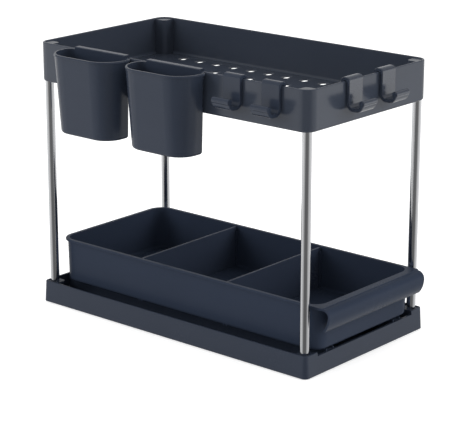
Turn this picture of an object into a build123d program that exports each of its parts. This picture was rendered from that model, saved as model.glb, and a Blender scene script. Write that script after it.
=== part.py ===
from build123d import *
import math
import os

# Under sink organizer: a base tray and a raised tray on four tubes, a pull-out drawer on the base,
# two hanging cups and four hang-on hooks. X runs along the organizer and the drawer pulls out to +X,
# Y runs across it and Z is up. The pieces are built about the middle of the base and are then moved
# together, so that the origin is the bottom centre of the whole organizer. Lengths are millimetres.

# Whole frame
frame_length = 400.0
frame_width = 216.0
frame_height = 318.0
cut_overrun = 2.0
fit_clearance = 0.1
rest_clearance = 0.2

# Upper tray
tray_height = 46.0
tray_wall = 2.6
tray_floor = 2.0
tray_corner_radius = 14.0
tray_foot_radius = 3.0
tray_inner_radius = 3.5
tray_rim_radius = 1.1
tray_block = 18.5
tray_block_radius = 5.0
tray_block_drop = 1.3
tray_socket_depth = 30.0
drain_length = 14.0
drain_width = 10.0
drain_radius = 3.5
drain_pitch_x = 27.0
drain_pitch_y = 35.0
drain_margin_x = 42.0
drain_margin_y = 8.0

# Posts, with the plugs in their ends and the screws below them
post_diameter = 10.5
post_wall = 0.9
post_inset = 9.0
plug_collar = 1.5
plug_length = 20.0
plug_chamfer = 0.8
screw_diameter = 4.0
screw_length = 16.0
screw_head_diameter = 7.6
screw_head_height = 2.6
screw_head_radius = 0.8
screw_recess_width = 1.2
screw_recess_length = 4.4
screw_recess_depth = 1.4

# Base tray
base_height = 25.4
base_wall = 2.6
base_floor = 2.4
base_flare = 1.5
base_corner_radius = 4.5
base_rim_radius = 0.9
base_block = 18.0
base_block_radius = 4.0
base_front_drop = 4.4
base_front_radius = 2.5
base_socket_floor = 5.0
foot_diameter = 16.0
foot_seat = 1.0
foot_stand = 1.2
foot_edge_radius = 0.5
foot_inset_x = 36.0
foot_inset_y = 21.0

# Runners that carry the drawer on the base
rail_inset = 26.0
rail_width = 14.0
rail_skin = 2.2
rail_lip_width = 1.8
rail_lip_height = 1.8
runner_clearance = 0.4
runner_height = 2.3
stop_slot_width = 4.0
stop_peg_width = 3.2
stop_peg_length = 6.0
stop_peg_drop = 3.0
drawer_travel_share = 0.65

# Drawer
drawer_rear_gap = 7.9
drawer_side_gap = 3.25
drawer_height = 53.5
drawer_wall = 2.2
drawer_floor = 2.2
drawer_draft = 1.2
drawer_corner_radius = 18.0
drawer_foot_radius = 5.0
drawer_lip = 2.5
drawer_lip_thickness = 2.4
drawer_lip_radius = 1.0
drawer_lip_front_radius = 4.0
handle_wall = 2.4
handle_flange = 7.5
handle_step = 0.8
handle_bend_radius = 7.2
handle_face_radius = 26.0
handle_face_angle = 40.0

# Dividers and the ribs that hold them
divider_thickness = 2.0
divider_drop = 1.0
divider_place_shares = (0.3254, 0.663)
divider_corner_radius = 4.0
divider_edge_radius = 0.8
guide_rib_width = 1.8
guide_rib_depth = 2.4
guide_rib_drop = 6.0
guide_clearance = 0.3

# Cups
cup_width = 98.5
cup_depth = 41.5
cup_height = 91.3
cup_wall = 1.9
cup_floor = 2.2
cup_draft = 6.0
cup_front_radius = 29.0
cup_back_radius = 10.0
cup_foot_radius = 3.5
cup_rim_reach = 0.6
cup_rim_height = 2.4
cup_rim_radius = 1.6
cup_rim_back_radius = 8.0
cup_wall_gap = 0.6
cup_hanger_width = 78.0
cup_hanger_thickness = 2.4
cup_hanger_depth = 12.0
cup_hanger_radius = 1.0
cup_place_shares = (-0.244, 0.0323)

# Hooks
hook_width = 24.0
hook_thickness = 4.0
hook_inner_leg = 10.0
hook_reach = 20.5
hook_drop = 32.2
hook_tip_rise = 8.0
hook_top_radius = 2.4
hook_bend_radius = 6.8
hook_bead_diameter = 7.0
hook_side_radius = 0.7
hook_gap = 0.4
side_hook_place_shares = (0.247, 0.38)
front_hook_place_shares = (-0.154, 0.119)

# Heights and places that follow from the sizes above
tray_foot_z = frame_height - tray_height
tray_block_z = frame_height - tray_block_drop
tray_socket_z = tray_foot_z + tray_socket_depth
base_rim_z = foot_stand + base_height
base_floor_z = foot_stand + base_floor
base_front_z = base_rim_z - base_front_drop
base_socket_z = foot_stand + base_socket_floor
post_foot_z = base_socket_z + plug_collar
post_head_z = tray_socket_z - plug_collar
post_x = frame_length / 2 - post_inset
post_y = frame_width / 2 - post_inset
post_bore = post_diameter - 2 * post_wall
runner_z = base_front_z + rest_clearance
drawer_foot_z = runner_z + runner_height
drawer_rim_z = drawer_foot_z + drawer_height
drawer_width = 2 * (post_y - post_diameter / 2 - drawer_side_gap - drawer_lip)
drawer_travel = frame_length * drawer_travel_share
rail_offset = drawer_width / 2 - rail_inset
drawer_front_x = frame_length / 2
drawer_rear_x = -frame_length / 2 + base_wall + drawer_rear_gap
drawer_length = drawer_front_x - drawer_rear_x
drawer_middle_x = (drawer_front_x + drawer_rear_x) / 2
drawer_inner_length = drawer_length - 2 * drawer_wall
drawer_inner_width = drawer_width - 2 * drawer_wall
wall_x = frame_length / 2
wall_y = frame_width / 2
corners = {
    "front_left": (1, -1),
    "front_right": (1, 1),
    "rear_left": (-1, -1),
    "rear_right": (-1, 1),
}


def rounded_block(length, width, radius, low_z, high_z, grow=0.0):
    """Block with rounded upright edges. Each side stands out by grow at its top."""
    foot = Plane.XY.offset(low_z) * RectangleRounded(length, width, radius)
    if grow == 0:
        return extrude(foot, high_z - low_z)
    head = Plane.XY.offset(high_z) * RectangleRounded(
        length + 2 * grow, width + 2 * grow, radius + grow
    )
    return loft([foot, head])


def upright_box(low, high):
    """Box between two corner points."""
    size = [b - a for a, b in zip(low, high)]
    middle = [(a + b) / 2 for a, b in zip(low, high)]
    return Pos(*middle) * Box(*size)


def upright_rod(x, y, low_z, high_z, diameter):
    """Rod along Z between two heights."""
    return Pos(x, y, (low_z + high_z) / 2) * Cylinder(diameter / 2, high_z - low_z)


def corner_block(side, radius, low_z, high_z, outer):
    """Blocks in the four corners of a tray, cut to its outside, each with a rounded inner edge."""
    reach_x = frame_length / 2 + cut_overrun
    reach_y = frame_width / 2 + cut_overrun
    full_x = side + cut_overrun
    full_y = side + cut_overrun
    blocks = []
    for sign_x, sign_y in corners.values():
        block = rounded_block(full_x, full_y, radius, low_z, high_z)
        middle_x = sign_x * (reach_x - full_x / 2)
        middle_y = sign_y * (reach_y - full_y / 2)
        blocks.append((Pos(middle_x, middle_y) * block) & outer)
    return blocks


def drain_holes():
    """Grid of rounded drain holes through the upper tray's floor."""
    plan = RectangleRounded(drain_width, drain_length, drain_radius)
    hole = extrude(plan, tray_floor + 2 * cut_overrun)
    room_x = frame_length - 2 * (tray_wall + drain_margin_x) - drain_width
    room_y = frame_width - 2 * (tray_wall + drain_margin_y) - drain_length
    columns = math.floor(room_x / drain_pitch_x) + 1
    rows = math.floor(room_y / drain_pitch_y) + 1
    grid = GridLocations(drain_pitch_x, drain_pitch_y, columns, rows)
    low_z = tray_foot_z - cut_overrun
    return [Pos(0, 0, low_z) * place * hole for place in grid]


def upper_tray():
    """Raised tray: upright walls, a drained floor and a socket block for a post in each corner."""
    outer = rounded_block(frame_length, frame_width, tray_corner_radius, tray_foot_z, frame_height)
    outer = fillet(outer.edges().group_by(Axis.Z)[0], tray_foot_radius)
    cavity = rounded_block(
        frame_length - 2 * tray_wall,
        frame_width - 2 * tray_wall,
        tray_corner_radius - tray_wall,
        tray_foot_z + tray_floor,
        frame_height + cut_overrun,
    )
    cavity = fillet(cavity.edges().group_by(Axis.Z)[0], tray_inner_radius)
    shell = outer - cavity
    shell = fillet(shell.edges().group_by(Axis.Z)[-1], tray_rim_radius)
    shell = shell - drain_holes()
    for block in corner_block(tray_block, tray_block_radius, tray_foot_z, tray_block_z, outer):
        shell = shell + block
    socket = post_diameter + 2 * fit_clearance
    for sign_x, sign_y in corners.values():
        shell = shell - upright_rod(
            sign_x * post_x, sign_y * post_y, tray_foot_z - cut_overrun, tray_socket_z, socket
        )
    return shell


def base_rails():
    """Two raised rails along the base, each with a lip down both sides to keep the drawer straight."""
    inner_end = frame_length / 2 - base_wall / 2
    rails = []
    for sign in (-1, 1):
        middle = sign * rail_offset
        low_y = middle - rail_width / 2
        high_y = middle + rail_width / 2
        body = upright_box((-inner_end, low_y, base_floor_z), (inner_end, high_y, base_front_z))
        rails.append(body)
        lip_end = frame_length / 2 - base_wall
        lip_z = base_front_z + rail_lip_height
        for lip_y in (low_y, high_y - rail_lip_width):
            low = (-lip_end, lip_y, base_front_z)
            rails.append(upright_box(low, (lip_end, lip_y + rail_lip_width, lip_z)))
    return rails


def rail_hollows():
    """The hollows under the rails, and the slots in their tops that the drawer's stop pegs run in."""
    hollow_end = frame_length / 2 - base_wall - rail_skin
    half_hollow = rail_width / 2 - rail_skin
    peg_rear_x = drawer_rear_x + drawer_corner_radius
    slot_rear_x = peg_rear_x - runner_clearance
    slot_front_x = peg_rear_x + stop_peg_length + drawer_travel + runner_clearance
    cuts = []
    for sign in (-1, 1):
        middle = sign * rail_offset
        cuts.append(
            upright_box(
                (-hollow_end, middle - half_hollow, foot_stand - cut_overrun),
                (hollow_end, middle + half_hollow, base_front_z - rail_skin),
            )
        )
        cuts.append(
            upright_box(
                (slot_rear_x, middle - stop_slot_width / 2, base_floor_z),
                (slot_front_x, middle + stop_slot_width / 2, base_front_z + cut_overrun),
            )
        )
    return cuts


def base_tray():
    """Shallow base tray with a low front wall, two rails, four post sockets and seats for the feet."""
    outer = rounded_block(
        frame_length + 2 * base_flare,
        frame_width + 2 * base_flare,
        base_corner_radius + base_flare,
        foot_stand,
        base_rim_z,
        -base_flare,
    )
    cavity = rounded_block(
        frame_length - 2 * base_wall,
        frame_width - 2 * base_wall,
        base_corner_radius - base_wall,
        base_floor_z,
        base_rim_z + cut_overrun,
    )
    shell = outer - cavity
    shell = fillet(shell.edges().group_by(Axis.Z)[-1], base_rim_radius)
    doorway_half = frame_width / 2 - base_block - base_front_radius
    doorway = upright_box(
        (frame_length / 2 - base_wall - cut_overrun, -doorway_half, base_front_z),
        (frame_length / 2 + base_flare + cut_overrun, doorway_half, base_rim_z + cut_overrun),
    )
    shell = shell - doorway
    block_z = base_rim_z - base_rim_radius
    for block in corner_block(base_block, base_block_radius, foot_stand, block_z, outer):
        shell = shell + block
    for rail in base_rails():
        shell = shell + rail
    for cut in rail_hollows():
        shell = shell - cut
    socket = post_diameter + 2 * fit_clearance
    shank = screw_diameter + 2 * fit_clearance
    head = screw_head_diameter + 2 * rest_clearance
    seat = foot_diameter + 2 * fit_clearance
    under_z = foot_stand - cut_overrun
    for sign_x, sign_y in corners.values():
        x = sign_x * post_x
        y = sign_y * post_y
        foot_x, foot_y = foot_place(sign_x, sign_y)
        shell = shell - upright_rod(x, y, base_socket_z, base_rim_z + cut_overrun, socket)
        shell = shell - upright_rod(x, y, under_z, base_socket_z + cut_overrun, shank)
        shell = shell - upright_rod(x, y, under_z, screw_seat_z(), head)
        shell = shell - upright_rod(foot_x, foot_y, under_z, foot_stand + foot_seat, seat)
    return shell


def screw_seat_z():
    """Height of the face that a screw's head pulls against, with the head sunk above the feet."""
    return foot_stand + screw_head_height


def foot_place(sign_x, sign_y):
    """Middle of a foot."""
    return (
        sign_x * (frame_length / 2 - foot_inset_x),
        sign_y * (frame_width / 2 - foot_inset_y),
    )


def foot(sign_x, sign_y):
    """Rubber foot pad, seated in the base's underside."""
    x, y = foot_place(sign_x, sign_y)
    pad = upright_rod(x, y, 0, foot_stand + foot_seat, foot_diameter)
    return fillet(pad.edges().group_by(Axis.Z)[0], foot_edge_radius)


def post(sign_x, sign_y):
    """Round steel tube between the trays."""
    x = sign_x * post_x
    y = sign_y * post_y
    tube = upright_rod(x, y, post_foot_z, post_head_z, post_diameter)
    return tube - upright_rod(x, y, post_foot_z - cut_overrun, post_head_z + cut_overrun, post_bore)


def post_plug(sign_x, sign_y, end_z, into):
    """Plug in a post's end. Its collar closes the tube, and into is 1 where its shank points up."""
    x = sign_x * post_x
    y = sign_y * post_y
    collar_z = end_z - into * plug_collar
    shank_z = end_z + into * plug_length
    collar = upright_rod(x, y, min(end_z, collar_z), max(end_z, collar_z), post_diameter)
    shank = upright_rod(x, y, min(end_z, shank_z), max(end_z, shank_z), post_bore - 2 * fit_clearance)
    tip = shank.edges().group_by(Axis.Z)[-1 if into > 0 else 0]
    return collar + chamfer(tip, plug_chamfer)


def foot_plug(sign_x, sign_y):
    """Plug in a post's lower end, bored for its screw."""
    plug = post_plug(sign_x, sign_y, post_foot_z, 1)
    bore_top = screw_seat_z() + screw_length + rest_clearance
    return plug - upright_rod(
        sign_x * post_x,
        sign_y * post_y,
        base_socket_z - cut_overrun,
        bore_top,
        screw_diameter + 2 * fit_clearance,
    )


def head_plug(sign_x, sign_y):
    """Plug in a post's upper end, which the upper tray's socket rests on."""
    return post_plug(sign_x, sign_y, post_head_z, -1)


def post_screw(sign_x, sign_y):
    """Pan-head screw that pulls a post down into the base."""
    x = sign_x * post_x
    y = sign_y * post_y
    seat_z = screw_seat_z()
    head = upright_rod(x, y, foot_stand, seat_z, screw_head_diameter)
    head = fillet(head.edges().group_by(Axis.Z)[0], screw_head_radius)
    shank = upright_rod(x, y, seat_z, seat_z + screw_length, screw_diameter)
    screw = head + shank
    half_length = screw_recess_length / 2
    half_width = screw_recess_width / 2
    low_z = foot_stand - cut_overrun
    high_z = foot_stand + screw_recess_depth
    for half_x, half_y in ((half_length, half_width), (half_width, half_length)):
        screw = screw - upright_box((x - half_x, y - half_y, low_z), (x + half_x, y + half_y, high_z))
    return screw


def divider_places():
    """Where the dividers stand along the drawer."""
    rear = drawer_rear_x + drawer_wall
    return [rear + drawer_inner_length * share for share in divider_place_shares]


def drawer_outline(grow, front_x, rear_radius, front_radius):
    """Plan of the drawer's rim: grow past its sides and rear, and a front edge at front_x."""
    rear_x = drawer_rear_x - grow
    plan = Pos((rear_x + front_x) / 2, 0) * Rectangle(front_x - rear_x, drawer_width + 2 * grow)
    ends = plan.vertices().group_by(Axis.X)
    plan = fillet(ends[0], rear_radius)
    ends = plan.vertices().group_by(Axis.X)
    return fillet(ends[-1], front_radius)


def drawer_handle():
    """Curled lip along the drawer's front edge. Fingers reach up behind it from below."""
    top_z = drawer_rim_z - handle_step - handle_wall / 2
    start = (drawer_front_x - drawer_wall / 2, top_z)
    bend = (drawer_front_x + handle_flange, top_z)
    nose = (bend[0] + handle_bend_radius, top_z - handle_bend_radius)
    sweep = math.radians(handle_face_angle)
    inward = handle_face_radius * (1 - math.cos(sweep))
    downward = handle_face_radius * math.sin(sweep)
    half_inward = handle_face_radius * (1 - math.cos(sweep / 2))
    half_downward = handle_face_radius * math.sin(sweep / 2)
    flat = Line(start, bend)
    curl = RadiusArc(bend, nose, handle_bend_radius)
    face = ThreePointArc(
        nose,
        (nose[0] - half_inward, nose[1] - half_downward),
        (nose[0] - inward, nose[1] - downward),
    )
    path = Wire([flat.edge(), curl.edge(), face.edge()])
    ribbon = make_face(offset(path, handle_wall / 2, side=Side.BOTH).edges())
    side_plane = Plane(origin=(0, drawer_width / 2, 0), x_dir=(1, 0, 0), z_dir=(0, -1, 0))
    return extrude(side_plane * ribbon, drawer_width)


def guide_ribs():
    """Pairs of ribs down the drawer's side walls, with a divider's edge between each pair."""
    ribs = []
    high_z = drawer_rim_z - guide_rib_drop
    slot = divider_thickness / 2 + guide_clearance
    wall = drawer_inner_width / 2
    foot_wall = wall - drawer_draft
    for x in divider_places():
        for sign in (-1, 1):
            for low_x in (x - slot - guide_rib_width, x + slot):
                near = sign * (foot_wall - guide_rib_depth)
                far = sign * (wall + drawer_wall / 2)
                low = (low_x, min(near, far), drawer_foot_z + drawer_floor / 2)
                high = (low_x + guide_rib_width, max(near, far), high_z)
                ribs.append(upright_box(low, high))
    return ribs


def drawer_runners():
    """Two runners under the drawer, each with a peg that stops it at the end of the rail's slot."""
    half_width = rail_width / 2 - rail_lip_width - runner_clearance
    rear_x = drawer_rear_x + drawer_corner_radius
    front_x = drawer_front_x - drawer_corner_radius
    high_z = drawer_foot_z + drawer_floor / 2
    runners = []
    for sign in (-1, 1):
        middle = sign * rail_offset
        low_y = middle - half_width
        high_y = middle + half_width
        runners.append(upright_box((rear_x, low_y, runner_z), (front_x, high_y, high_z)))
        runners.append(
            upright_box(
                (rear_x, middle - stop_peg_width / 2, runner_z - stop_peg_drop),
                (rear_x + stop_peg_length, middle + stop_peg_width / 2, high_z),
            )
        )
    return runners


def drawer():
    """Deep drawer with a lipped rim, a curled handle, guide ribs and runners."""
    outer = Pos(drawer_middle_x) * rounded_block(
        drawer_length - 2 * drawer_draft,
        drawer_width - 2 * drawer_draft,
        drawer_corner_radius - drawer_draft,
        drawer_foot_z,
        drawer_rim_z,
        drawer_draft,
    )
    outer = fillet(outer.edges().group_by(Axis.Z)[0], drawer_foot_radius)
    lean = drawer_draft / drawer_height
    cavity_inset = drawer_draft - lean * drawer_floor
    cavity_height = drawer_height - drawer_floor + cut_overrun
    cavity = Pos(drawer_middle_x) * rounded_block(
        drawer_inner_length - 2 * cavity_inset,
        drawer_inner_width - 2 * cavity_inset,
        drawer_corner_radius - drawer_wall - cavity_inset,
        drawer_foot_z + drawer_floor,
        drawer_rim_z + cut_overrun,
        lean * cavity_height,
    )
    cavity = fillet(cavity.edges().group_by(Axis.Z)[0], drawer_foot_radius - drawer_floor)
    plan = drawer_outline(
        drawer_lip,
        drawer_front_x + handle_flange,
        drawer_corner_radius + drawer_lip,
        drawer_lip_front_radius,
    )
    lip = extrude(Pos(0, 0, drawer_rim_z - drawer_lip_thickness) * plan, drawer_lip_thickness)
    lip = fillet(lip.edges().group_by(Axis.Z)[-1], drawer_lip_radius)
    body = outer + lip + drawer_handle()
    body = body - cavity
    for rib in guide_ribs():
        body = body + rib
    for runner in drawer_runners():
        body = body + runner
    return body


def divider(x):
    """Plate across the drawer that lifts out between the guide ribs."""
    low_z = drawer_foot_z + drawer_floor + rest_clearance
    high_z = drawer_rim_z - divider_drop
    lean = drawer_draft / drawer_height
    low_half = drawer_inner_width / 2 - drawer_draft + lean * (low_z - drawer_foot_z) - guide_clearance
    high_half = drawer_inner_width / 2 - lean * divider_drop - guide_clearance
    outline = Polygon(
        (-low_half, low_z), (low_half, low_z), (high_half, high_z), (-high_half, high_z), align=None
    )
    outline = fillet(outline.vertices().group_by(Axis.Y)[0], divider_corner_radius)
    stand = Plane(origin=(x - divider_thickness / 2, 0, 0), x_dir=(0, 1, 0), z_dir=(1, 0, 0))
    plate = extrude(stand * outline, divider_thickness)
    top = plate.edges().filter_by(Axis.Y).group_by(Axis.Z)[-1]
    return fillet(top, divider_edge_radius)


def cup_outline(grow, depth, back_radius):
    """Plan of a cup about the middle of its back, with a well rounded front."""
    plan = Pos(0, -depth / 2) * Rectangle(cup_width + 2 * grow, depth)
    plan = fillet(plan.vertices().group_by(Axis.Y)[0], cup_front_radius + grow)
    return fillet(plan.vertices().group_by(Axis.Y)[-1], back_radius)


def cup_block(low_z, low_grow, high_z, high_grow, depth, foot_radius):
    """Block that leans out at its sides and front, with a rounded foot."""
    foot_plan = cup_outline(low_grow, depth + low_grow, cup_back_radius + low_grow)
    head_plan = cup_outline(high_grow, depth + high_grow, cup_back_radius + high_grow)
    block = loft([Plane.XY.offset(low_z) * foot_plan, Plane.XY.offset(high_z) * head_plan])
    return fillet(block.edges().group_by(Axis.Z)[0], foot_radius)


def cup(x):
    """Hanging cup with a rolled rim and a hanger over the upper tray's wall."""
    foot_z = frame_height - cup_height
    outer = cup_block(foot_z, -cup_draft, frame_height, 0, cup_depth, cup_foot_radius)
    plan = cup_outline(cup_rim_reach, cup_depth + cup_rim_reach, cup_rim_back_radius)
    rim = extrude(Pos(0, 0, frame_height - cup_rim_height) * plan, cup_rim_height)
    rim = fillet(rim.edges().group_by(Axis.Z)[-1], cup_rim_radius)
    body = (outer + rim) - Pos(0, -cup_wall) * cup_cavity()
    return Pos(x, -wall_y - cup_wall_gap) * (body + cup_hanger())


def cup_cavity():
    """Inside of a cup, about the middle of its inner back face."""
    lean = cup_draft / cup_height
    return cup_block(
        frame_height - cup_height + cup_floor,
        lean * cup_floor - cup_draft - cup_wall,
        frame_height + cut_overrun,
        lean * cut_overrun - cup_wall,
        cup_depth - cup_wall,
        cup_foot_radius - cup_wall,
    )


def cup_hanger():
    """Bent strip that carries a cup on the rim, about the middle of the cup's back face."""
    half = cup_hanger_width / 2
    bridge_z = frame_height + rest_clearance
    top_z = bridge_z + cup_hanger_thickness
    inner_y = cup_wall_gap + tray_wall + cup_wall_gap
    far_y = inner_y + cup_hanger_thickness
    back = upright_box((-half, -cup_wall, frame_height - cup_hanger_depth), (half, 0, bridge_z))
    bridge = upright_box((-half, -cup_wall, bridge_z), (half, far_y, top_z))
    leg = upright_box((-half, inner_y, frame_height - cup_hanger_depth), (half, far_y, bridge_z))
    hanger = back + bridge + leg
    return fillet(hanger.edges().filter_by(Axis.X).group_by(Axis.Z)[-1], cup_hanger_radius)


def hook():
    """J-shaped hook about the tray's outer face, reaching out along +X, with its middle at Y zero."""
    half_wall = hook_thickness / 2
    inner_u = -tray_wall - hook_gap - half_wall
    outer_u = hook_gap + half_wall
    top_z = frame_height + rest_clearance + half_wall
    low_z = frame_height - hook_drop + half_wall
    tip_z = low_z + hook_tip_rise
    path = FilletPolyline(
        (inner_u, frame_height - hook_inner_leg),
        (inner_u, top_z),
        (outer_u, top_z),
        (outer_u, low_z),
        (hook_reach, low_z),
        (hook_reach, tip_z),
        radius=[hook_top_radius, hook_top_radius, hook_bend_radius, hook_bend_radius],
    )
    ribbon = make_face(offset(path, half_wall, side=Side.BOTH).edges())
    ribbon = ribbon + Pos(hook_reach, tip_z) * Circle(hook_bead_diameter / 2)
    stand = Plane(origin=(0, hook_width / 2, 0), x_dir=(1, 0, 0), z_dir=(0, -1, 0))
    body = extrude(stand * ribbon, hook_width)
    sides = body.faces().sort_by(Axis.Y)
    return fillet(sides[0].edges() + sides[-1].edges(), hook_side_radius)


def side_hook(x):
    """Hook on the long side of the upper tray."""
    return Pos(x, -wall_y) * Rot(0, 0, -90) * hook()


def front_hook(y):
    """Hook on the short side of the upper tray, above the drawer's front."""
    return Pos(wall_x, y) * hook()


def organizer():
    """Every piece under its own name, about the middle of the base."""
    pieces = {"base_tray": base_tray(), "upper_tray": upper_tray()}
    for name, (sign_x, sign_y) in corners.items():
        pieces["post_" + name] = post(sign_x, sign_y)
        pieces["foot_plug_" + name] = foot_plug(sign_x, sign_y)
        pieces["head_plug_" + name] = head_plug(sign_x, sign_y)
        pieces["foot_pad_" + name] = foot(sign_x, sign_y)
    screws = [post_screw(sign_x, sign_y) for sign_x, sign_y in corners.values()]
    pieces["post_screws"] = Compound(children=screws)
    pieces["drawer"] = drawer()
    rear_divider_x, front_divider_x = divider_places()
    pieces["divider_rear"] = divider(rear_divider_x)
    pieces["divider_front"] = divider(front_divider_x)
    cup_rear_share, cup_front_share = cup_place_shares
    pieces["cup_rear"] = cup(frame_length * cup_rear_share)
    pieces["cup_front"] = cup(frame_length * cup_front_share)
    hook_rear_share, hook_front_share = side_hook_place_shares
    pieces["side_hook_rear"] = side_hook(frame_length * hook_rear_share)
    pieces["side_hook_front"] = side_hook(frame_length * hook_front_share)
    hook_left_share, hook_right_share = front_hook_place_shares
    pieces["front_hook_left"] = front_hook(frame_width * hook_left_share)
    pieces["front_hook_right"] = front_hook(frame_width * hook_right_share)
    return pieces


def origin_offset(pieces):
    """How far the pieces move so that the origin is the bottom centre of the whole organizer."""
    boxes = [piece.bounding_box() for piece in pieces.values()]
    low_x = min(box.min.X for box in boxes)
    high_x = max(box.max.X for box in boxes)
    low_y = min(box.min.Y for box in boxes)
    high_y = max(box.max.Y for box in boxes)
    return -(low_x + high_x) / 2, -(low_y + high_y) / 2


built = organizer()
shift_x, shift_y = origin_offset(built)
os.makedirs("parts", exist_ok=True)
for name, piece in built.items():
    export_step(Pos(shift_x, shift_y) * piece, "parts/" + name + ".step")
print("moved by", round(shift_x, 4), round(shift_y, 4))
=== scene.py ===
import math
import bmesh
import bpy
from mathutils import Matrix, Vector


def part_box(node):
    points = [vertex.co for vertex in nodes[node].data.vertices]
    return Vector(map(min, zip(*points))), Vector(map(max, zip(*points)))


# Under sink organizer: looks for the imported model. Metres, in the model's own frame.

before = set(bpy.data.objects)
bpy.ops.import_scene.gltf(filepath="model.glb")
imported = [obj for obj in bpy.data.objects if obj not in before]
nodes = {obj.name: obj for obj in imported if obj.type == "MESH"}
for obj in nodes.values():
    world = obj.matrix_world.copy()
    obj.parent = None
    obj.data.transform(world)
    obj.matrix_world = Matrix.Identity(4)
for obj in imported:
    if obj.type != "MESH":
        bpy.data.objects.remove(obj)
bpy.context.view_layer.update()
baseLow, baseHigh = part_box("base_tray")
baseMiddle = (baseLow + baseHigh) / 2


# shader helpers
class Wire:
    # One shader socket that takes part in sums.
    def __init__(self, shader, socket):
        self.shader = shader
        self.socket = socket

    def maths(self, operation, first, second=None):
        values = {0: first}
        if second is not None:
            values[1] = second
        return self.shader.add("ShaderNodeMath", {"operation": operation}, values).out(0)

    def __add__(self, other):
        return self.maths("ADD", self, other)

    def __radd__(self, other):
        return self.maths("ADD", other, self)

    def __sub__(self, other):
        return self.maths("SUBTRACT", self, other)

    def __rsub__(self, other):
        return self.maths("SUBTRACT", other, self)

    def __mul__(self, other):
        return self.maths("MULTIPLY", self, other)

    def __rmul__(self, other):
        return self.maths("MULTIPLY", other, self)

    def __truediv__(self, other):
        return self.maths("DIVIDE", self, other)

    def __rtruediv__(self, other):
        return self.maths("DIVIDE", other, self)

    def root(self):
        return self.maths("SQRT", self)

    def sine(self):
        return self.maths("SINE", self)

    def atLeast(self, other):
        return self.maths("MAXIMUM", self, other)

    def atMost(self, other):
        return self.maths("MINIMUM", self, other)

    def clamped(self):
        return self.atLeast(0.0).atMost(1.0)


class Step:
    # One node, whose outputs are read as wires.
    def __init__(self, shader, node):
        self.shader = shader
        self.node = node

    def out(self, key):
        return Wire(self.shader, self.node.outputs[key])


class Shader:
    # The node tree of one material or of the world.
    def __init__(self, owner):
        owner.use_nodes = True
        self.tree = owner.node_tree
        self.tree.nodes.clear()

    def add(self, kind, settings=None, values=None):
        node = self.tree.nodes.new(kind)
        for name, value in (settings or {}).items():
            if name == "stops":
                ramp = node.color_ramp
                while len(ramp.elements) < len(value):
                    ramp.elements.new(0.5)
                for element, (place, level) in zip(ramp.elements, value):
                    element.position = place
                    element.color = (level, level, level, 1.0)
            else:
                setattr(node, name, value)
        for key, value in (values or {}).items():
            socket = node.inputs[key]
            if isinstance(value, Wire):
                self.tree.links.new(value.socket, socket)
            else:
                socket.default_value = value
        return Step(self, node)

    def place(self):
        return self.add("ShaderNodeTexCoord").out("Object")

    def noise(self, where, scale, detail=2.0, roughness=0.5):
        return self.add(
            "ShaderNodeTexNoise", {},
            {"Vector": where, "Scale": scale, "Detail": detail, "Roughness": roughness},
        ).out("Fac")

    def parts(self, where):
        split = self.add("ShaderNodeSeparateXYZ", {}, {"Vector": where})
        return split.out("X"), split.out("Y"), split.out("Z")

    def fade(self, amount, low, high, lowTone, highTone):
        return self.add(
            "ShaderNodeMapRange", {"interpolation_type": "SMOOTHSTEP"},
            {
                "Value": amount,
                "From Min": low,
                "From Max": high,
                "To Min": lowTone,
                "To Max": highTone,
            },
        ).out("Result")

    def stretch(self, where, scale):
        return self.add("ShaderNodeMapping", {}, {"Vector": where, "Scale": scale}).out(0)

    def centred(self, where, middle):
        moved = (-middle[0], -middle[1], -middle[2])
        return self.add("ShaderNodeMapping", {}, {"Vector": where, "Location": moved}).out(0)

    def blendColours(self, amount, first, second):
        return self.add(
            "ShaderNodeMix", {"data_type": "RGBA"}, {0: amount, 6: first, 7: second}
        ).out(2)

    def ramp(self, amount, stops):
        return self.add("ShaderNodeValToRGB", {"stops": stops}, {"Fac": amount}).out("Color")

    def bump(self, height, strength, distance):
        return self.add(
            "ShaderNodeBump", {},
            {"Height": height, "Strength": strength, "Distance": distance},
        ).out("Normal")

    def principled(self, values):
        self.finish(self.add("ShaderNodeBsdfPrincipled", {}, values).out(0))

    def finish(self, surface):
        self.add("ShaderNodeOutputMaterial", {}, {"Surface": surface})


def tone(colour, share=1.0):
    # A colour made lighter or darker, as a socket takes it.
    return tuple(min(1.0, part * share) for part in colour) + (1.0,)


# moulded plastic of the trays, drawer, dividers, cups, hooks and plugs
plastic = {
    "colour": (0.027, 0.035, 0.054),
    "darkShare": 0.90,
    "lightShare": 1.10,
    "grainPerMetre": 1500.0,
    "poresPerGrain": 0.37,
    "grainShare": 0.65,
    "poresShare": 0.35,
    "grainStrength": 0.16,
    "grainHeight": 0.00012,
    "mottlePerMetre": 9.0,
    "mottleShare": 0.7,
    "smearsPerMetre": (14.0, 14.0, 70.0),
    "smearsShare": 0.3,
    "speckStops": [(0.60, 0.0), (0.78, 1.0)],
    "speckStrength": 0.10,
    "speckLightness": 1.6,
    "roughness": 0.25,
    "roughnessSpread": 0.08,
    "grainRoughness": 0.12,
    "specular": 0.8,
    "ior": 1.5,
}


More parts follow.
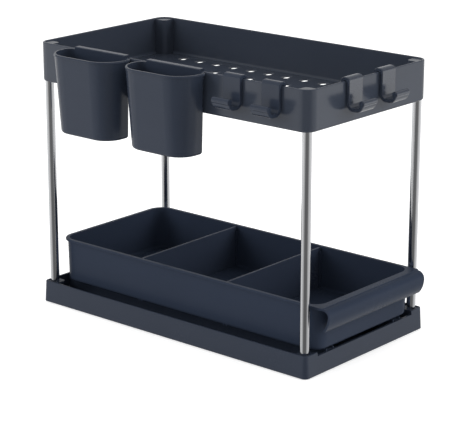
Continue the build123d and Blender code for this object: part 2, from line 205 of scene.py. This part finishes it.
def mouldedPlastic(name, changes=None):
    look = dict(plastic)
    look.update(changes or {})
    material = bpy.data.materials.new(name)
    shader = Shader(material)
    where = shader.place()
    grain = shader.noise(where, look["grainPerMetre"], 3.0, 0.6)
    pores = shader.noise(where, look["grainPerMetre"] * look["poresPerGrain"], 2.0, 0.55)
    mottle = shader.noise(where, look["mottlePerMetre"], 3.0, 0.55)
    smears = shader.noise(shader.stretch(where, look["smearsPerMetre"]), 1.0, 3.0, 0.6)
    amount = (mottle * look["mottleShare"] + smears * look["smearsShare"]).clamped()
    colour = shader.blendColours(
        amount, tone(look["colour"], look["darkShare"]), tone(look["colour"], look["lightShare"])
    )
    specks = shader.ramp(grain, look["speckStops"])
    colour = shader.blendColours(
        specks * look["speckStrength"], colour, tone(look["colour"], look["speckLightness"])
    )
    spread = (mottle - 0.5) * look["roughnessSpread"] + (grain - 0.5) * look["grainRoughness"]
    relief = grain * look["grainShare"] + pores * look["poresShare"]
    shader.principled({
        "Base Color": colour,
        "Roughness": (spread + look["roughness"]).clamped(),
        "Normal": shader.bump(relief, look["grainStrength"], look["grainHeight"]),
        "Specular IOR Level": look["specular"],
        "IOR": look["ior"],
    })
    return material


# chrome plated tube
chrome = {
    "colour": (0.86, 0.87, 0.89),
    "darkShare": 0.94,
    "lightShare": 1.04,
    "roughness": 0.13,
    "roughnessSpread": 0.05,
    "hazePerMetre": 30.0,
    "streaksPerMetre": (900.0, 900.0, 6.0),
    "streakStrength": 0.04,
    "streakHeight": 0.00005,
}


def platedTube(name):
    material = bpy.data.materials.new(name)
    shader = Shader(material)
    where = shader.place()
    streaks = shader.noise(shader.stretch(where, chrome["streaksPerMetre"]), 1.0, 2.0, 0.5)
    haze = shader.noise(where, chrome["hazePerMetre"], 3.0, 0.55)
    spread = (streaks - 0.5) * chrome["roughnessSpread"] + (haze - 0.5) * chrome["roughnessSpread"]
    shader.principled({
        "Base Color": shader.blendColours(
            haze,
            tone(chrome["colour"], chrome["darkShare"]),
            tone(chrome["colour"], chrome["lightShare"]),
        ),
        "Metallic": 1.0,
        "Roughness": (spread + chrome["roughness"]).clamped(),
        "Normal": shader.bump(streaks, chrome["streakStrength"], chrome["streakHeight"]),
    })
    return material


# foot pads, moulded with rings round each pad's middle
rubber = {
    "colour": (0.022, 0.022, 0.024),
    "dustPerMetre": 160.0,
    "dustStops": [(0.52, 0.0), (0.75, 0.35)],
    "dustLightness": 4.0,
    "grainPerMetre": 2200.0,
    "grainShare": 0.25,
    "roughness": 0.7,
    "roughnessSpread": 0.2,
    "ringsPerMetre": 700.0,
    "ringShare": 0.75,
    "ringStrength": 0.8,
    "ringHeight": 0.0002,
}


def rubberPad(name, middle):
    material = bpy.data.materials.new(name)
    shader = Shader(material)
    where = shader.place()
    x, y = shader.parts(shader.centred(where, middle))[:2]
    turn = (x * x + y * y).root() * (rubber["ringsPerMetre"] * 2.0 * math.pi)
    rings = turn.sine() * 0.5 + 0.5
    grain = shader.noise(where, rubber["grainPerMetre"], 3.0, 0.6)
    dust = shader.noise(where, rubber["dustPerMetre"], 4.0, 0.6)
    relief = grain * rubber["grainShare"] + rings * rubber["ringShare"]
    shader.principled({
        "Base Color": shader.blendColours(
            shader.ramp(dust, rubber["dustStops"]),
            tone(rubber["colour"]),
            tone(rubber["colour"], rubber["dustLightness"]),
        ),
        "Roughness": (grain * rubber["roughnessSpread"] + rubber["roughness"]).clamped(),
        "Normal": shader.bump(relief, rubber["ringStrength"], rubber["ringHeight"]),
    })
    return material


# screws under the base
zinc = {
    "colour": (0.60, 0.61, 0.63),
    "darkShare": 0.8,
    "lightShare": 1.1,
    "grainPerMetre": 900.0,
    "grainStrength": 0.1,
    "grainHeight": 0.0001,
    "roughness": 0.25,
    "roughnessSpread": 0.25,
}


def zincPlate(name):
    material = bpy.data.materials.new(name)
    shader = Shader(material)
    where = shader.place()
    grain = shader.noise(where, zinc["grainPerMetre"], 3.0, 0.6)
    shader.principled({
        "Base Color": shader.blendColours(
            grain,
            tone(zinc["colour"], zinc["darkShare"]),
            tone(zinc["colour"], zinc["lightShare"]),
        ),
        "Metallic": 1.0,
        "Roughness": (grain * zinc["roughnessSpread"] + zinc["roughness"]).clamped(),
        "Normal": shader.bump(grain, zinc["grainStrength"], zinc["grainHeight"]),
    })
    return material


# how each plastic piece differs from the plastic above; the tray's and dividers' lighter colours
# are painted light
looks = {
    "base": {"specular": 0.30},
    # painted light: the tray takes a lighter copy of the plastic colour, brightening its shaded
    # faces
    "tray": {"colour": (0.036, 0.044, 0.062), "specular": 0.72, "roughness": 0.19},
    "drawer": {"colour": (0.026, 0.035, 0.057), "specular": 0.09},
    # painted light: the dividers take a lighter copy of the plastic colour, brightening the shaded
    # inside of the drawer
    "divider": {"colour": (0.029, 0.038, 0.061)},
    "cup": {"specular": 0.40},
    "sideHook": {"roughness": 0.20, "specular": 0.55},
    "frontHook": {"roughness": 0.17, "specular": 1.0, "ior": 1.7},
    "plug": {"colour": (0.03, 0.032, 0.036)},
}

# which finish each piece takes, by the start of its name
finishes = {
    "base_tray": mouldedPlastic("basePlastic", looks["base"]),
    "upper_tray": mouldedPlastic("trayPlastic", looks["tray"]),
    "drawer": mouldedPlastic("drawerPlastic", looks["drawer"]),
    "divider": mouldedPlastic("dividerPlastic", looks["divider"]),
    "cup": mouldedPlastic("cupPlastic", looks["cup"]),
    "side_hook": mouldedPlastic("hookPlastic", looks["sideHook"]),
    "front_hook": mouldedPlastic("frontHookPlastic", looks["frontHook"]),
    "post_screws": zincPlate("zincScrew"),
    "post": platedTube("platedTube"),
    "foot_plug": mouldedPlastic("plugPlastic", looks["plug"]),
    "head_plug": mouldedPlastic("headPlugPlastic", looks["plug"]),
}
for padName in nodes:
    if padName.startswith("foot_pad"):
        padLow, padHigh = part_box(padName)
        finishes[padName] = rubberPad(padName + "_rubber", (padLow + padHigh) / 2)


def dress(name, obj):
    for prefix, material in finishes.items():
        if name.startswith(prefix):
            obj.data.materials.clear()
            obj.data.materials.append(material)
            return
    print("no finish for", name)


for name, obj in nodes.items():
    dress(name, obj)
print("finishes given to", len(nodes), "pieces")


# floor, world and lamps. Around stops go from behind the object (0) to the dark side (1).
studio = {
    "floorSize": 7.0,
    "floorColour": (0.80, 0.80, 0.80),
    "floorGlow": 0.50,
    "white": (1.0, 1.0, 1.0),
    "ambient": 0.78,
    "darkSide": (0.6515, -0.7586),
    "aroundTone": 1.2,
    "aroundStops": [
        (0.0, 0.85), (0.12, 0.75), (0.33, 0.44), (0.41, 0.75), (0.48, 0.74),
        (0.578, 0.48), (0.75, 0.42), (0.847, 0.34), (0.915, 0.12), (1.0, 0.11),
    ],
    "highTone": 0.35,
    "highStart": 0.04,
    "highEnd": 0.30,
    "lowTone": 0.8,
    "lowStart": -0.20,
    "lowEnd": -0.36,
    "lampAimHeight": 0.16,
    "lamps": {
        "leftBox": {"at": (-1.75, -2.45, 1.40), "size": (1.8, 1.8), "watts": 44.0},
        "rightBox": {"at": (2.65, 1.50, 1.40), "size": (1.8, 1.8), "watts": 46.0},
        "topBox": {"at": (0.0, 0.15, 1.9), "size": (1.6, 1.4), "watts": 5.0},
    },
}


def fromBase(x, y, z):
    # A point given from the base's middle, at the height z over the floor.
    return Vector((x, y, z)) + Vector((baseMiddle.x, baseMiddle.y, 0.0))


def makeFloor():
    mesh = bpy.data.meshes.new("floor")
    shape = bmesh.new()
    bmesh.ops.create_grid(shape, x_segments=1, y_segments=1, size=studio["floorSize"] / 2)
    shape.to_mesh(mesh)
    shape.free()
    floor = bpy.data.objects.new("floor", mesh)
    bpy.context.scene.collection.objects.link(floor)
    floor.visible_glossy = False  # gloss shows the world, at the horizon and below it
    material = bpy.data.materials.new("paleFloor")
    shader = Shader(material)
    rays = shader.add("ShaderNodeLightPath")
    seen = rays.out("Is Camera Ray") + rays.out("Is Glossy Ray") + rays.out("Is Transmission Ray")
    matt = shader.add("ShaderNodeBsdfDiffuse", {}, {"Color": tone(studio["floorColour"])})
    glow = shader.add(
        "ShaderNodeEmission", {},
        {"Color": tone(studio["white"]), "Strength": seen.clamped() * studio["floorGlow"]},
    )
    both = shader.add("ShaderNodeAddShader", {}, {0: matt.out(0), 1: glow.out(0)})
    shader.finish(both.out(0))
    mesh.materials.append(material)


def makeWorld():
    # Matt surfaces get even light, the camera sees white, and gloss sees the around stops.
    world = bpy.data.worlds.new("studio")
    bpy.context.scene.world = world
    shader = Shader(world)
    white = tone(studio["white"])
    rays = shader.add("ShaderNodeLightPath")
    seen = (rays.out("Is Camera Ray") + rays.out("Is Transmission Ray")).clamped()
    x, y, z = shader.parts(shader.add("ShaderNodeTexCoord").out("Generated"))
    flat = (x * x + y * y).root().atLeast(0.001)
    facing = (x * studio["darkSide"][0] + y * studio["darkSide"][1]) / flat
    around = shader.ramp(facing * 0.5 + 0.5, studio["aroundStops"])
    above = shader.fade(z, studio["highStart"], studio["highEnd"], 1.0, studio["highTone"])
    below = shader.fade(z, studio["lowEnd"], studio["lowStart"], studio["lowTone"], 1.0)
    strength = above * below * studio["aroundTone"]
    plain, backdrop, mirrored = (
        shader.add("ShaderNodeBackground", {}, {"Color": colour, "Strength": power}).out(0)
        for colour, power in ((white, studio["ambient"]), (white, 1.0), (around, strength))
    )
    still = shader.add("ShaderNodeMixShader", {}, {0: seen, 1: plain, 2: backdrop})
    mixed = shader.add(
        "ShaderNodeMixShader", {},
        {0: rays.out("Is Glossy Ray"), 1: still.out(0), 2: mirrored},
    )
    shader.add("ShaderNodeOutputWorld", {}, {"Surface": mixed.out(0)})


def makeLamp(name, look):
    data = bpy.data.lights.new(name, "AREA")
    data.shape = "RECTANGLE"
    data.size, data.size_y = look["size"]
    data.energy = look["watts"]
    lamp = bpy.data.objects.new(name, data)
    bpy.context.scene.collection.objects.link(lamp)
    lamp.visible_glossy = False
    lamp.location = fromBase(*look["at"])
    aim = fromBase(0.0, 0.0, studio["lampAimHeight"]) - lamp.location
    lamp.rotation_euler = aim.to_track_quat("-Z", "Y").to_euler()


# camera, from the base's middle, as the photograph was taken
camera = {
    "lens": 147.75,
    "sensor": 36.0,
    "nearest": 0.01,
    "farthest": 50.0,
    "at": (1.339216, -1.56708, 0.735654),
    "tilt": 1.281956,
    "turn": 0.709557,
}


def makeCamera():
    data = bpy.data.cameras.new("camera")
    data.lens = camera["lens"]
    data.sensor_width = camera["sensor"]
    data.clip_start = camera["nearest"]
    data.clip_end = camera["farthest"]
    shot = bpy.data.objects.new("camera", data)
    bpy.context.scene.collection.objects.link(shot)
    shot.location = fromBase(*camera["at"])
    shot.rotation_euler = (camera["tilt"], 0.0, camera["turn"])
    bpy.context.scene.camera = shot


makeFloor()
makeWorld()
for lampName, lampLook in studio["lamps"].items():
    makeLamp(lampName, lampLook)
makeCamera()
bpy.context.scene.view_settings.view_transform = "Standard"
print("floor, world, lamps and camera ready")
